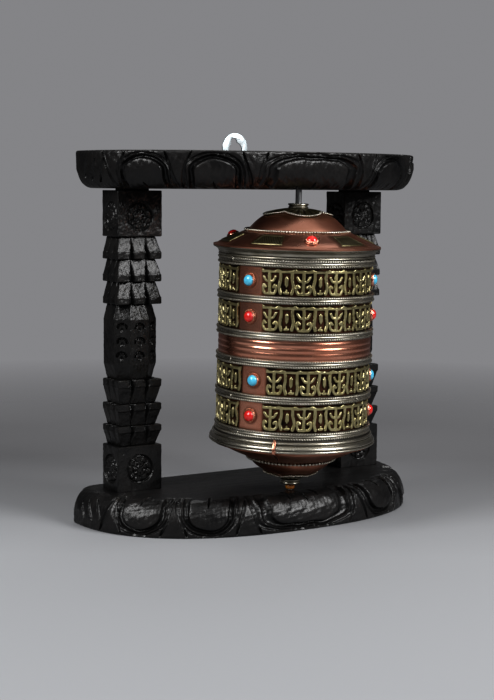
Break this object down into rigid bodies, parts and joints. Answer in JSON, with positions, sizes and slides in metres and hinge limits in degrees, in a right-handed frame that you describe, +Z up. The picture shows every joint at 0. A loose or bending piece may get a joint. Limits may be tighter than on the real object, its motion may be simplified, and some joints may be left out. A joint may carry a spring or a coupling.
{
  "type": "prayer wheel",
  "caption": "Drum of copper sheet with brass relief and wire bands that spins on a rod between two carved half-oval wooden boards on pillars, with a keyhole hanger.",
  "frame": {"origin": "middle of the base board's underside, halfway between its back edge and the middle of its curved front", "axes": "+Z up, +Y towards the wall (the boards' flat backs), -Y the curved front, +X to the right seen from the front"},
  "size_m": [0.2215, 0.1207, 0.2299],
  "materials": {
    "black_wood": "black paint, semi-gloss",
    "steel_rod": "plain",
    "zinc_plate": "bright zinc",
    "copper": "polished copper",
    "white_metal": "silvery, dark in the grooves",
    "antique_brass": "aged, olive",
    "pale_wood": "raw",
    "paper_roll": "plain",
    "amber_bead": "gloss",
    "turquoise": "gloss",
    "coral": "gloss"
  },
  "bodies": {
    "frame": {"base_board": "black_wood", "top_board": "black_wood", "left_pillar": "black_wood", "right_pillar": "black_wood", "spindle_rod": "steel_rod", "hanger_plate": "zinc_plate", "hanger_screws": "zinc_plate"},
    "drum": {"drum_shell": "copper", "upper_lid": "copper", "lower_lid": "copper", "upper_ferrule": "white_metal", "lower_ferrule": "white_metal", "upper_calyx": "antique_brass", "lower_calyx": "antique_brass", "upper_lid_wire": "white_metal", "lower_lid_wire": "white_metal", "head_moulding": "white_metal", "foot_moulding": "white_metal", "lid_clip": "copper", "wire_band_1": "white_metal", "wire_band_2": "white_metal", "wire_band_3": "white_metal", "wire_band_4": "white_metal", "wire_band_5": "white_metal", "wire_band_6": "white_metal", "relief_row_1": "antique_brass", "relief_row_2": "antique_brass", "relief_row_3": "antique_brass", "relief_row_4": "antique_brass", "centre_band": "copper", "bezels_row_1": "copper", "bezels_row_2": "copper", "bezels_row_3": "copper", "bezels_row_4": "copper", "turquoise_row_1": "turquoise", "coral_row_2": "coral", "turquoise_row_3": "turquoise", "coral_row_4": "coral", "lid_bezels": "copper", "lid_corals": "coral", "lid_panels": "antique_brass", "roll_core": "pale_wood", "prayer_roll": "paper_roll"},
    "washer": {"thrust_washer": "white_metal"},
    "bead": {"thrust_bead": "amber_bead"}
  },
  "joints": [
    {"name": "drum_spin", "type": "hinge", "parent": "frame", "child": "drum", "pos_m": [0, -0.0244, 0.0206], "axis": [0.0068, -0.0234, 0.9997], "continuous": true},
    {"name": "bead_spin", "type": "hinge", "parent": "frame", "child": "bead", "pos_m": [0, -0.0244, 0.0206], "axis": [0.0068, -0.0234, 0.9997], "continuous": true},
    {"name": "washer_spin", "type": "hinge", "parent": "frame", "child": "washer", "pos_m": [0, -0.0244, 0.0206], "axis": [0.0068, -0.0234, 0.9997], "continuous": true}
  ]
}
